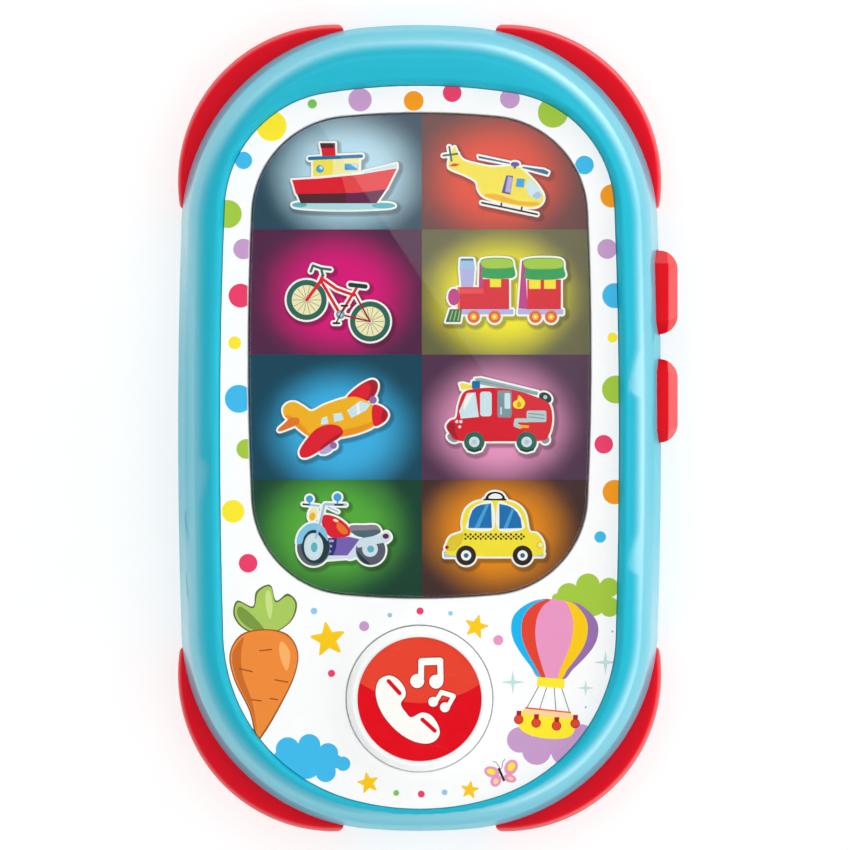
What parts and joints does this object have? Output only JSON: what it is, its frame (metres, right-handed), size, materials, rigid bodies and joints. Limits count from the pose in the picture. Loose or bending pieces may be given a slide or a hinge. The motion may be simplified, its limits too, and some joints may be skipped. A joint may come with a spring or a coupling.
{
  "type": "toy cell phone",
  "caption": "Chunky toddler toy phone with a rounded frame, lit picture screen, round call button, side buttons, corner bumpers and a battery door on its back.",
  "frame": {"origin": "centre of the flat back face", "axes": "+Z out of the screen, +Y towards the phone's top, +X towards the side buttons"},
  "size_m": [0.0868, 0.1404, 0.0262],
  "materials": {
    "teal_shell": "glossy moulded, fine moulding texture on the back",
    "red_bumper": "satin soft plastic",
    "red_button": "glossy moulded",
    "white_panel": "satin moulded",
    "printed_label": null,
    "clear_lens": "clear polished plastic",
    "printed_film": null,
    "diffuser": "milky translucent sheet",
    "touch_film": "clear film",
    "light_box": "matt white moulded",
    "circuit_board": "green solder mask",
    "led": "clear lens",
    "black_resin": "glossy black",
    "component": "matt black",
    "steel": "zinc plated",
    "button_clear": "milky clear moulded",
    "red_label": null,
    "silicone": "matt translucent",
    "black_plastic": "matt",
    "paper_cone": "matt treated paper",
    "magnet": "plated",
    "foam": "open foam",
    "cell_jacket": "plain printed jacket, no lettering",
    "spring_steel": "nickel plated",
    "switch_metal": "stamped case",
    "red_insulation": "soft plastic",
    "black_insulation": "soft plastic",
    "grey_insulation": "soft plastic"
  },
  "bodies": {
    "casing": {"front_housing": "teal_shell", "rear_shell": "teal_shell", "bumper_top_left": "red_bumper", "bumper_top_right": "red_bumper", "bumper_bottom_left": "red_bumper", "bumper_bottom_right": "red_bumper", "face_plate": "white_panel", "face_label": "printed_label", "screen_lens": "clear_lens", "screen_film": "printed_film", "diffuser_sheet": "diffuser", "touch_film": "touch_film", "light_grid": "light_box", "main_board": "circuit_board", "screen_leds": "led", "chip_blob": "black_resin", "board_components": "component", "board_screws": "steel", "call_button_dome": "silicone", "side_key_dome_upper": "silicone", "side_key_dome_lower": "silicone", "side_key_board": "circuit_board", "housing_screws": "steel", "battery_upper": "cell_jacket", "battery_lower": "cell_jacket", "battery_springs": "spring_steel", "battery_contacts": "spring_steel", "speaker_gasket": "foam", "speaker_frame": "black_plastic", "speaker_cone": "paper_cone", "speaker_magnet": "magnet", "switch_body": "switch_metal", "switch_board": "circuit_board", "switch_board_screws": "steel", "battery_lead_red": "red_insulation", "battery_lead_black": "black_insulation", "speaker_lead_red": "red_insulation", "speaker_lead_black": "black_insulation", "switch_leads": "grey_insulation", "side_key_leads": "grey_insulation"},
    "call_button": {"call_button_cap": "button_clear", "call_button_label": "red_label"},
    "upper_side_button": {"side_button_upper": "red_button"},
    "lower_side_button": {"side_button_lower": "red_button"},
    "power_knob": {"power_slider": "red_button", "switch_lever": "black_plastic"},
    "battery_cover": {"battery_door": "teal_shell", "battery_door_screw": "steel"}
  },
  "joints": [
    {"name": "call_button_press", "type": "slide", "parent": "casing", "child": "call_button", "axis": [0, 0, -1], "range_m": [0, 0.0013], "stiffness_N_per_m": 600, "springref_m": -0.0015, "deforming": ["call_button_dome"]},
    {"name": "upper_side_button_press", "type": "slide", "parent": "casing", "child": "upper_side_button", "axis": [-1, 0, 0], "range_m": [0, 0.001], "stiffness_N_per_m": 600, "springref_m": -0.0015, "deforming": ["side_key_dome_upper"]},
    {"name": "lower_side_button_press", "type": "slide", "parent": "casing", "child": "lower_side_button", "axis": [-1, 0, 0], "range_m": [0, 0.001], "stiffness_N_per_m": 600, "springref_m": -0.0015, "deforming": ["side_key_dome_lower"]},
    {"name": "power_knob_slide", "type": "slide", "parent": "casing", "child": "power_knob", "axis": [1, 0, 0], "range_m": [0, 0.004]},
    {"name": "battery_cover_hinge", "type": "hinge", "parent": "casing", "child": "battery_cover", "pos_m": [0, -0.046, 0], "axis": [-1, 0, 0], "range_deg": [0, 75]}
  ]
}
